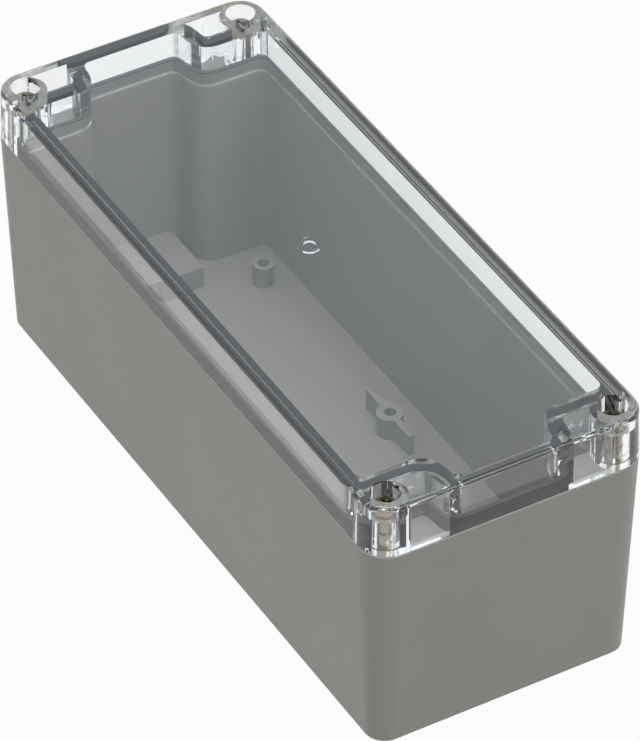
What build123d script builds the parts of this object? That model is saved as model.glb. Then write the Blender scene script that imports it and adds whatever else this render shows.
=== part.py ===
from build123d import *
import os
from math import radians, tan

# Sealed electronics enclosure: a grey moulded base and a clear lid held by four captive screws.
# Millimetres. X runs along the box, Y across it and Z up, with the origin under the middle of the base.
# Seen from the front end, which faces +X, the left side faces -Y.

# Overall size
length = 190.0
width = 75.0
height = 74.2
lid_height = 14.5
corner_radius = 7.5

# Wall of the rim, from the outside to the cavity, and the line between base and lid
rim_width = 4.4
seam_gap = 0.1

# Cavity plan: a long room whose ends step in beside the screws and leave a bay between them
block_depth = 14.6
bay_half_width = 13.3
bay_mouth_half_width = 14.8
bay_mouth_radius = 6.0
bay_corner_radius = 2.0
room_corner_radius = 2.2

# Base moulding
base_draft = 2.1
floor_thickness = 3.0
rim_edge_radius = 0.7
rim_outer_edge_radius = 0.3

# Groove in the wall of the lid, and the ridge on the rim that stands in it against the inner lip
lip_width = 0.6
groove_width = 2.3
groove_depth = 3.6
ridge_fit = 0.06
ridge_width = 0.85
ridge_height = 3.4

# Room left round the gasket, which fills the rest of the groove, outside the ridge and over it
gasket_fit = 0.02

# Lid moulding
lid_draft = 1.8
lid_cavity_draft = 0.5
lid_plate = 2.3
lid_edge_radius = 1.4
lid_foot_radius = 0.4
pocket_wall = 2.6
screw_boss_radius = 5.4
relief_core_radius = 0.95
relief_core_inboard = 3.6
relief_core_outboard = 4.5
gate_ring_outer_radius = 2.9
gate_ring_inner_radius = 1.5
gate_ring_height = 0.7

# Lid screws, M3, and the holes that they sit in
screw_inset = 6.9
counterbore_radius = 3.75
counterbore_depth = 5.2
neck_hole_radius = 1.6
neck_hole_length = 1.0
screw_passage_radius = 2.15
head_radius = 2.9
head_height = 1.7
head_edge_radius = 0.5
seat_gap = 0.05
neck_radius = 1.4
neck_length = 5.35
collar_radius = 1.75
collar_height = 0.3
thread_radius = 1.5
thread_length = 11.0
tip_chamfer = 0.4
recess_span = 3.4
recess_slot = 0.8
recess_depth = 1.1
recess_taper = 12.0
recess_hub_radius = 0.8

# Brass inserts moulded into the base
insert_radius = 2.5
insert_length = 8.0
insert_stand = 0.08
insert_groove_depth = 0.35
insert_groove_length = 1.6
insert_fit = 0.02
thread_fit = 0.07
tip_room = 2.5

# Posts on the floor for a circuit board or a mounting plate
post_height = 6.2
post_hole_radius = 1.55
post_hole_depth = 6.0
corner_post_radius = 2.85
corner_post_x = 67.0
corner_post_y = 24.8
side_post_radius = 3.5
side_post_y = 23.0
side_rib_half_length = 10.5
side_rib_width = 1.6
end_post_radius = 3.25
end_post_x = 74.5

# Raised block in each end bay, and the recess under it
end_block_half_width = 10.7
end_block_length = 17.6
end_recess_wall = 2.4

# Cores that open at the underside beside the screws, and the holes for outside brackets or feet
core_wall = 2.4
core_roof = 3.5
insert_column_radius = 5.2
bracket_hole_radius = 2.0
bracket_hole_depth = 12.0

# A room in the corner of the lid is left solid when it would be smaller than this, in mm2
smallest_room = 10.0

# Heights and places that follow from the sizes above
base_height = height - lid_height
lid_bottom = base_height + seam_gap
ceiling = height - lid_plate
groove_top = lid_bottom + groove_depth
ridge_top = base_height + ridge_height
ridge_inner = lip_width + ridge_fit
ridge_outer = ridge_inner + ridge_width
seat_level = height - counterbore_depth
screw_x = length / 2 - screw_inset
screw_y = width / 2 - screw_inset
cavity_x = length / 2 - rim_width
cavity_y = width / 2 - rim_width
block_x = length / 2 - block_depth
post_top = floor_thickness + post_height
end_block_x = cavity_x - end_block_length
corners = {
    "front_left": (1, -1),
    "front_right": (1, 1),
    "back_left": (-1, -1),
    "back_right": (-1, 1),
}


def column(x, y, low, high, radius):
    """An upright round bar."""
    return Pos(x, y, low) * extrude(Circle(radius), amount=high - low)


def prism(plan, low, high):
    """A flat plan drawn up from one level to another."""
    return Pos(0, 0, low) * extrude(plan, amount=high - low)


def outer_plan(inset=0.0):
    """Outline of the box at the seam, or parallel to it and further in."""
    return RectangleRounded(length - 2 * inset, width - 2 * inset, corner_radius - inset)


def round_plan_corners(plan, x, y, radius):
    """Rounds the four corners of a plan that lie at plus or minus x, y."""
    points = [v for v in plan.vertices() if abs(abs(v.X) - x) < 0.01 and abs(abs(v.Y) - y) < 0.01]
    return fillet(points, radius=radius)


def cavity_plan(grow=0.0):
    """Outline of the cavity, or parallel to it and further out."""
    quarter = [
        (cavity_x, bay_half_width),
        (block_x, bay_mouth_half_width),
        (block_x, cavity_y),
    ]
    outline = list(quarter)
    outline += [(-x, y) for x, y in reversed(quarter)]
    outline += [(-x, -y) for x, y in quarter]
    outline += [(x, -y) for x, y in reversed(quarter)]
    plan = make_face(Polyline(*outline, close=True))
    plan = round_plan_corners(plan, cavity_x, bay_half_width, bay_corner_radius)
    plan = round_plan_corners(plan, block_x, bay_mouth_half_width, bay_mouth_radius)
    plan = round_plan_corners(plan, block_x, cavity_y, room_corner_radius)
    if grow > 0:
        plan = offset(plan, amount=grow)
    return plan


def ring_plan(inner, outer):
    """Band that follows the cavity, from one distance outside it to another."""
    return cavity_plan(outer) - cavity_plan(inner)


def lid_pocket_plan():
    """The four corner rooms of the lid, between its skirt, the wall of its cavity and the screw bosses."""
    rooms = outer_plan(pocket_wall) - cavity_plan(rim_width)
    for side_x, side_y in corners.values():
        rooms -= Pos(side_x * screw_x, side_y * screw_y) * Circle(screw_boss_radius)
    return Sketch() + [face for face in rooms.faces() if face.area > smallest_room]


def make_base():
    """Grey base: drafted walls, ridge, floor posts, end blocks and cored corners."""
    top = Plane.XY.offset(base_height)
    walls = extrude(top * outer_plan(), amount=base_height, dir=(0, 0, -1), taper=base_draft)
    base = walls - prism(cavity_plan(), floor_thickness, base_height)
    rim = base.faces().sort_by(Axis.Z)[-1]
    base = fillet(rim.inner_wires().edges(), radius=rim_edge_radius)
    rim = base.faces().sort_by(Axis.Z)[-1]
    base = fillet(rim.outer_wire().edges(), radius=rim_outer_edge_radius)
    base += prism(ring_plan(ridge_inner, ridge_outer), base_height, ridge_top)
    base += end_blocks() + floor_posts()
    base -= end_recesses() + post_holes() + corner_cores() + insert_holes() + bracket_holes()
    return base


def end_blocks():
    """Raised block in the bay at each end."""
    size_x = end_block_length + rim_width / 2
    plan = Rectangle(size_x, 2 * end_block_half_width, align=(Align.MIN, Align.CENTER))
    front = Pos(end_block_x, 0, 0) * prism(plan, 0, post_top)
    return front + front.rotate(Axis.Z, 180)


def end_recesses():
    """Recess in the underside below each end block, which keeps its walls even."""
    low_x = end_post_x + end_post_radius
    high_x = cavity_x - end_recess_wall
    size_y = 2 * (end_block_half_width - end_recess_wall)
    plan = Rectangle(high_x - low_x, size_y, align=(Align.MIN, Align.CENTER))
    front = Pos(low_x, 0, 0) * prism(plan, 0, post_top - end_recess_wall)
    return front + front.rotate(Axis.Z, 180)


def floor_posts():
    """Posts on the floor: four near the corners, one ribbed on each long side, one at each end."""
    low = floor_thickness / 2
    posts = Part()
    for side_x, side_y in corners.values():
        posts += column(side_x * corner_post_x, side_y * corner_post_y, low, post_top, corner_post_radius)
    for side in (-1, 1):
        posts += column(0, side * side_post_y, low, post_top, side_post_radius)
        rib = Rectangle(2 * side_rib_half_length, side_rib_width)
        posts += Pos(0, side * side_post_y, 0) * prism(rib, low, post_top)
        posts += column(side * end_post_x, 0, low, post_top, end_post_radius)
    return posts


def post_holes():
    """Pilot hole down each post."""
    places = [(side_x * corner_post_x, side_y * corner_post_y) for side_x, side_y in corners.values()]
    places += [(0, -side_post_y), (0, side_post_y), (-end_post_x, 0), (end_post_x, 0)]
    holes = Part()
    for x, y in places:
        holes += column(x, y, post_top - post_hole_depth, post_top, post_hole_radius)
    return holes


def corner_cores():
    """Hollows that open downwards in the corner blocks, beside the columns of the lid screws."""
    low_x = block_x + core_wall
    high_x = length / 2 - base_height * tan(radians(base_draft)) - core_wall
    low_y = bay_mouth_half_width + core_wall
    high_y = screw_y - insert_column_radius
    size_x = high_x - low_x
    size_y = high_y - low_y
    core_radius = min(bay_mouth_radius - core_wall, 0.49 * size_x, 0.49 * size_y)
    plan = RectangleRounded(size_x, size_y, core_radius)
    cores = Part()
    for side_x, side_y in corners.values():
        middle = Pos(side_x * (low_x + high_x) / 2, side_y * (low_y + high_y) / 2, 0)
        cores += middle * prism(plan, 0, base_height - core_roof)
    return cores


def insert_holes():
    """Seats for the brass inserts, with room below for the screw tips."""
    holes = Part()
    for side_x, side_y in corners.values():
        x = side_x * screw_x
        y = side_y * screw_y
        low = base_height - insert_length
        holes += column(x, y, low, base_height, insert_radius + insert_fit)
        holes += column(x, y, low - tip_room, low, thread_radius + thread_fit)
    return holes


def bracket_holes():
    """Pilot holes in the underside, in line with the lid screws, for outside brackets or feet."""
    holes = Part()
    for side_x, side_y in corners.values():
        holes += column(side_x * screw_x, side_y * screw_y, 0, bracket_hole_depth, bracket_hole_radius)
    return holes


def make_lid():
    """Clear lid: a plate with an outer skirt, a grooved wall around the cavity and four screw bosses."""
    foot = Plane.XY.offset(lid_bottom)
    lid = extrude(foot * outer_plan(), amount=height - lid_bottom, taper=lid_draft)
    lid = fillet(lid.faces().sort_by(Axis.Z)[-1].edges(), radius=lid_edge_radius)
    lid = fillet(lid.faces().sort_by(Axis.Z)[0].edges(), radius=lid_foot_radius)
    lid -= extrude(foot * cavity_plan(), amount=ceiling - lid_bottom, taper=lid_cavity_draft)
    lid -= prism(lid_pocket_plan(), lid_bottom, ceiling)
    lid -= prism(ring_plan(lip_width, lip_width + groove_width), lid_bottom, groove_top)
    for side_x, side_y in corners.values():
        lid -= screw_passage(side_x * screw_x, side_y * screw_y)
        relief_x = side_x * (screw_x - relief_core_inboard)
        relief_y = side_y * (screw_y + relief_core_outboard)
        lid -= column(relief_x, relief_y, lid_bottom, ceiling, relief_core_radius)
    ring = Circle(gate_ring_outer_radius) - Circle(gate_ring_inner_radius)
    lid += prism(ring, ceiling - gate_ring_height, ceiling)
    return lid


def screw_passage(x, y):
    """The stepped hole of one lid screw: counterbore, close hole for the neck and wider hole below."""
    neck_level = seat_level - neck_hole_length
    hole = column(x, y, seat_level, height, counterbore_radius)
    hole += column(x, y, neck_level, seat_level, neck_hole_radius)
    hole += column(x, y, lid_bottom, neck_level, screw_passage_radius)
    return hole


def make_gasket():
    """Gasket that rests on the rim outside the ridge and reaches over it to the inner lip."""
    outer = lip_width + groove_width - gasket_fit
    top = groove_top - gasket_fit
    leg = prism(ring_plan(ridge_outer + gasket_fit, outer), base_height + gasket_fit, top)
    return leg + prism(ring_plan(lip_width + gasket_fit, outer), ridge_top + gasket_fit, top)


def make_screw(x, y):
    """Captive lid screw: head with a cross recess, neck, collar that keeps it in the lid, and plain thread."""
    under_head = seat_level + seat_gap
    head_top = under_head + head_height
    neck_end = under_head - neck_length
    tip = neck_end - thread_length
    head = column(x, y, under_head, head_top, head_radius)
    head = fillet(head.edges().sort_by(Axis.Z)[-1], radius=head_edge_radius)
    thread = column(x, y, tip, neck_end, thread_radius)
    thread = chamfer(thread.edges().sort_by(Axis.Z)[0], length=tip_chamfer)
    screw = head + column(x, y, neck_end, under_head, neck_radius) + thread
    screw += column(x, y, neck_end, neck_end + collar_height, collar_radius)
    slots = Rectangle(recess_span, recess_slot) + Rectangle(recess_slot, recess_span)
    slots += Circle(recess_hub_radius)
    mouth = Plane.XY.offset(head_top) * slots
    recess = extrude(mouth, amount=recess_depth, dir=(0, 0, -1), taper=recess_taper)
    return screw - Pos(x, y, 0) * recess


def make_insert(x, y):
    """Brass insert with a threaded bore, a groove that holds it in the plastic and a rim just under the lid."""
    low = base_height - insert_length
    rim = base_height + insert_stand
    groove_low = low + (insert_length - insert_groove_length) / 2
    groove_high = groove_low + insert_groove_length
    insert = column(x, y, low, groove_low, insert_radius)
    insert += column(x, y, groove_low, groove_high, insert_radius - insert_groove_depth)
    insert += column(x, y, groove_high, rim, insert_radius)
    return insert - column(x, y, low, rim, thread_radius + thread_fit)


def make_parts():
    """All the pieces by name."""
    pieces = {"base": make_base(), "lid": make_lid(), "gasket": make_gasket()}
    for name, (side_x, side_y) in corners.items():
        pieces["lid_screw_" + name] = make_screw(side_x * screw_x, side_y * screw_y)
        pieces["brass_insert_" + name] = make_insert(side_x * screw_x, side_y * screw_y)
    return pieces


os.makedirs("parts", exist_ok=True)
for part_name, piece in make_parts().items():
    export_step(piece, "parts/" + part_name + ".step")
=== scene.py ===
from math import cos, radians, sin

import bpy
from mathutils import Matrix, Vector

# A grey enclosure with a clear lid, on a white stage. Lengths are in metres unless a name says otherwise.

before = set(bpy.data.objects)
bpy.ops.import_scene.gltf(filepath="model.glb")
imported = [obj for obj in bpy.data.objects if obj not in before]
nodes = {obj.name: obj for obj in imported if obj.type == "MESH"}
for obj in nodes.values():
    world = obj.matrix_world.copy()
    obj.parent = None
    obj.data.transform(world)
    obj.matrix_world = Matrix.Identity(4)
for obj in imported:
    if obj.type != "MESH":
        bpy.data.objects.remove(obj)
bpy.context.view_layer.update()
scene = bpy.context.scene
mm = 0.001
white = (1.0, 1.0, 1.0, 1.0)

# How often light may bend or bounce on its way through the lid
lid_bounces = 32
gloss_bounces = 16

# Camera: where it stands round the object, and how far the picture's middle lies from the origin
view_azimuth = radians(60.0)
view_elevation = radians(40.0)
view_distance = 1484.8 * mm
view_right = 2.525 * mm
view_up = 25.665 * mm
focal_pixels = 5980.3
picture_height_pixels = 741
sensor_mm = 36.0
nearest_seen = 0.05
farthest_seen = 100.0

# Light
ambient_level = 1.27
lamp_size = 1.0
key_place = (1.2, 0.5, 1.3)
key_power = 6.6
top_place = (0.0, 0.0, 1.8)
top_power = 9.0

# Floor and background
plain_strength = 1.0
backdrop_colour = (0.90, 0.96, 1.0, 1.0)
stage_size = 30.0
stage_drop = 0.02 * mm
stage_whiteness = 0.97
stage_grey = (0.12, 0.12, 0.12, 1.0)

# The count of matt bounces below which a ray hasn't met a matt surface
no_matt_bounce = 0.5

# How far the gasket and the inserts are pressed into the lid, and how near their vertices are joined first
contact_depth = 0.045 * mm
weld_distance = 0.001 * mm

# Clear lid
lid_index = 1.585
lid_tint = (0.99, 0.995, 1.0, 1.0)
lid_depth_colour = (0.50, 0.55, 0.60, 1.0)
lid_depth_density = 4.0

# Grain and drift of colour of the grey plastic and the seal
moulded_index = 1.55
cloud_scale = 40.0
cloud_detail = 3.0
cloud_low = 0.3
cloud_high = 0.7
colour_drift = 0.02
grain_scale = 1.0 / (0.25 * mm)
grain_detail = 2.0
grain_height = 0.0005 * mm
grain_strength = 0.6
grain_roughness = 0.05

# Tool marks of the metal
mark_scale = 1500.0
mark_detail = 4.0
mark_dark = 0.9
mark_light = 1.06
mark_smooth = 0.8
mark_rough = 1.3

# Colours and roughness of the materials
grey_colour = (0.205, 0.203, 0.187)
grey_roughness = 0.42
seal_colour = (0.022, 0.024, 0.028)
seal_roughness = 0.6
screw_colour = (0.34, 0.29, 0.22)
screw_roughness = 0.25
brass_colour = (0.36, 0.31, 0.20)
brass_roughness = 0.3


def set_camera():
    """A long lens at the viewing angle of the picture."""
    back = Vector((
        sin(view_azimuth) * cos(view_elevation),
        -cos(view_azimuth) * cos(view_elevation),
        sin(view_elevation),
    ))
    right = Vector((cos(view_azimuth), sin(view_azimuth), 0.0))
    up = back.cross(right)
    camera = bpy.data.objects.new("camera", bpy.data.cameras.new("camera"))
    scene.collection.objects.link(camera)
    turn = Matrix((right, up, back)).transposed()
    place = back * view_distance + right * view_right + up * view_up
    camera.matrix_world = Matrix.Translation(place) @ turn.to_4x4()
    camera.data.sensor_width = sensor_mm
    camera.data.lens = focal_pixels / picture_height_pixels * sensor_mm
    camera.data.clip_start = nearest_seen
    camera.data.clip_end = farthest_seen
    scene.camera = camera


def new_material(name):
    """An empty node material and its output."""
    material = bpy.data.materials.new(name)
    material.use_nodes = True
    tree = material.node_tree
    tree.nodes.clear()
    return material, tree, tree.nodes.new("ShaderNodeOutputMaterial")


def calculate(tree, operation, first, second):
    """One step of arithmetic on two sockets or numbers."""
    step = tree.nodes.new("ShaderNodeMath")
    step.operation = operation
    for socket, value in zip(step.inputs, (first, second)):
        if isinstance(value, float):
            socket.default_value = value
        else:
            tree.links.new(value, socket)
    return step.outputs[0]


def seen(tree):
    """1 for what the camera sees, directly, mirrored or through clear plastic, before any matt surface."""
    path = tree.nodes.new("ShaderNodeLightPath")
    smooth = calculate(tree, "MAXIMUM", path.outputs["Is Glossy Ray"], path.outputs["Is Transmission Ray"])
    clean = calculate(tree, "LESS_THAN", path.outputs["Diffuse Depth"], no_matt_bounce)
    smooth_and_clean = calculate(tree, "MULTIPLY", smooth, clean)
    return calculate(tree, "MAXIMUM", path.outputs["Is Camera Ray"], smooth_and_clean)


def glow(tree, kind, colour, strength):
    """A plain glow of one colour."""
    node = tree.nodes.new(kind)
    node.inputs["Color"].default_value = colour
    node.inputs["Strength"].default_value = strength
    return node.outputs[0]


def blend(tree, share, first, second):
    """The second shader where the share is 1, the first where it is 0."""
    mix = tree.nodes.new("ShaderNodeMixShader")
    tree.links.new(share, mix.inputs[0])
    tree.links.new(first, mix.inputs[1])
    tree.links.new(second, mix.inputs[2])
    return mix.outputs[0]


def set_world():
    """Even light, in front of a pale background."""
    world = bpy.data.worlds.new("studio")
    world.use_nodes = True
    tree = world.node_tree
    tree.nodes.clear()
    light = glow(tree, "ShaderNodeBackground", white, ambient_level)
    backdrop = glow(tree, "ShaderNodeBackground", backdrop_colour, plain_strength)
    output = tree.nodes.new("ShaderNodeOutputWorld")
    tree.links.new(blend(tree, seen(tree), light, backdrop), output.inputs["Surface"])
    scene.world = world


def set_lamp(name, place, power):
    """A broad soft lamp that faces the object."""
    data = bpy.data.lights.new(name, "AREA")
    data.shape = "DISK"
    data.size = lamp_size
    data.energy = power
    lamp = bpy.data.objects.new(name, data)
    lamp.location = Vector(place)
    lamp.rotation_mode = "QUATERNION"
    lamp.rotation_quaternion = (-lamp.location).to_track_quat("-Z", "Y")
    scene.collection.objects.link(lamp)


def stage_material():
    """Pale floor that shows white and keeps the object's soft shadow."""
    material, tree, output = new_material("stage_white")
    matt = tree.nodes.new("ShaderNodeBsdfDiffuse")
    matt.inputs["Color"].default_value = stage_grey
    plain = glow(tree, "ShaderNodeEmission", white, plain_strength)
    share = calculate(tree, "MULTIPLY", seen(tree), stage_whiteness)
    tree.links.new(blend(tree, share, matt.outputs[0], plain), output.inputs["Surface"])
    return material


def set_stage():
    """The floor, a hair below the underside of the box, so that the two faces don't coincide."""
    half = stage_size / 2
    mesh = bpy.data.meshes.new("floor")
    corners = [(-half, -half, 0), (half, -half, 0), (half, half, 0), (-half, half, 0)]
    mesh.from_pydata(corners, [], [(0, 1, 2, 3)])
    floor = bpy.data.objects.new("floor", mesh)
    floor.location.z = -stage_drop
    floor.data.materials.append(stage_material())
    scene.collection.objects.link(floor)


def noise(tree, scale, detail):
    """Noise that lies still on the object."""
    place = tree.nodes.new("ShaderNodeTexCoord")
    node = tree.nodes.new("ShaderNodeTexNoise")
    node.inputs["Scale"].default_value = scale
    node.inputs["Detail"].default_value = detail
    tree.links.new(place.outputs["Object"], node.inputs["Vector"])
    return node.outputs["Fac"]


def vary_colour(tree, shader, share, colour, darker, lighter):
    """Base colour between a darker and a lighter shade, and the ramp that gives it."""
    ramp = tree.nodes.new("ShaderNodeValToRGB")
    for element, level in zip(ramp.color_ramp.elements, (darker, lighter)):
        element.color = tuple(c * level for c in colour) + (1.0,)
    tree.links.new(share, ramp.inputs["Fac"])
    tree.links.new(ramp.outputs["Color"], shader.inputs["Base Color"])
    return ramp.color_ramp


def vary_roughness(tree, shader, share, smoothest, roughest):
    """Roughness between two levels."""
    spread = tree.nodes.new("ShaderNodeMapRange")
    spread.inputs["To Min"].default_value = smoothest
    spread.inputs["To Max"].default_value = roughest
    tree.links.new(share, spread.inputs["Value"])
    tree.links.new(spread.outputs["Result"], shader.inputs["Roughness"])


def moulded(name, colour, roughness):
    """Moulded plastic or rubber: fine spark-eroded grain and a faint drift of colour."""
    material, tree, output = new_material(name)
    shader = tree.nodes.new("ShaderNodeBsdfPrincipled")
    shader.inputs["IOR"].default_value = moulded_index
    cloud = noise(tree, cloud_scale, cloud_detail)
    ramp = vary_colour(tree, shader, cloud, colour, 1 - colour_drift, 1 + colour_drift)
    ramp.elements[0].position = cloud_low
    ramp.elements[1].position = cloud_high
    grain = noise(tree, grain_scale, grain_detail)
    vary_roughness(tree, shader, grain, roughness - grain_roughness, roughness + grain_roughness)
    bump = tree.nodes.new("ShaderNodeBump")
    bump.inputs["Strength"].default_value = grain_strength
    bump.inputs["Distance"].default_value = grain_height
    tree.links.new(grain, bump.inputs["Height"])
    tree.links.new(bump.outputs["Normal"], shader.inputs["Normal"])
    tree.links.new(shader.outputs[0], output.inputs["Surface"])
    return material


def metal(name, colour, roughness):
    """Plated or turned metal with fine tool marks."""
    material, tree, output = new_material(name)
    shader = tree.nodes.new("ShaderNodeBsdfPrincipled")
    shader.inputs["Metallic"].default_value = 1.0
    marks = noise(tree, mark_scale, mark_detail)
    vary_colour(tree, shader, marks, colour, mark_dark, mark_light)
    vary_roughness(tree, shader, marks, roughness * mark_smooth, roughness * mark_rough)
    tree.links.new(shader.outputs[0], output.inputs["Surface"])
    return material


def clear_plastic():
    """Clear polished plastic that bends what shows through it and lets the lamps through."""
    material, tree, output = new_material("clear_plastic")
    glass = tree.nodes.new("ShaderNodeBsdfPrincipled")
    glass.inputs["Base Color"].default_value = lid_tint
    glass.inputs["Transmission Weight"].default_value = 1.0
    glass.inputs["Roughness"].default_value = 0.0
    glass.inputs["IOR"].default_value = lid_index
    thin = tree.nodes.new("ShaderNodeBsdfTransparent")
    thin.inputs["Color"].default_value = lid_tint
    path = tree.nodes.new("ShaderNodeLightPath")
    total = blend(tree, path.outputs["Is Shadow Ray"], glass.outputs[0], thin.outputs[0])
    tree.links.new(total, output.inputs["Surface"])
    depth = tree.nodes.new("ShaderNodeVolumeAbsorption")
    depth.inputs["Color"].default_value = lid_depth_colour
    depth.inputs["Density"].default_value = lid_depth_density
    tree.links.new(depth.outputs[0], output.inputs["Volume"])
    return material


def dress(node, material):
    """Gives a carried-over part its finish."""
    obj = nodes[node]
    obj.data.materials.clear()
    obj.data.materials.append(material)


def press_against_lid(node):
    """Closes the hair of air between a part and the lid, so that the part shows through the plastic."""
    weld = nodes[node].modifiers.new("weld", "WELD")
    weld.merge_threshold = weld_distance
    swell = nodes[node].modifiers.new("swell", "DISPLACE")
    swell.mid_level = 0.0
    swell.strength = contact_depth


scene.view_settings.view_transform = "Standard"
scene.cycles.max_bounces = lid_bounces
scene.cycles.transmission_bounces = lid_bounces
scene.cycles.glossy_bounces = gloss_bounces
set_camera()
set_world()
set_lamp("key", key_place, key_power)
set_lamp("top", top_place, top_power)
set_stage()

dress("base", moulded("grey_plastic", grey_colour, grey_roughness))
dress("lid", clear_plastic())
dress("gasket", moulded("seal_rubber", seal_colour, seal_roughness))
press_against_lid("gasket")
screw_metal = metal("screw_metal", screw_colour, screw_roughness)
insert_brass = metal("insert_brass", brass_colour, brass_roughness)
for end in ("front", "back"):
    for side in ("left", "right"):
        dress(f"lid_screw_{end}_{side}", screw_metal)
        dress(f"brass_insert_{end}_{side}", insert_brass)
        press_against_lid(f"brass_insert_{end}_{side}")
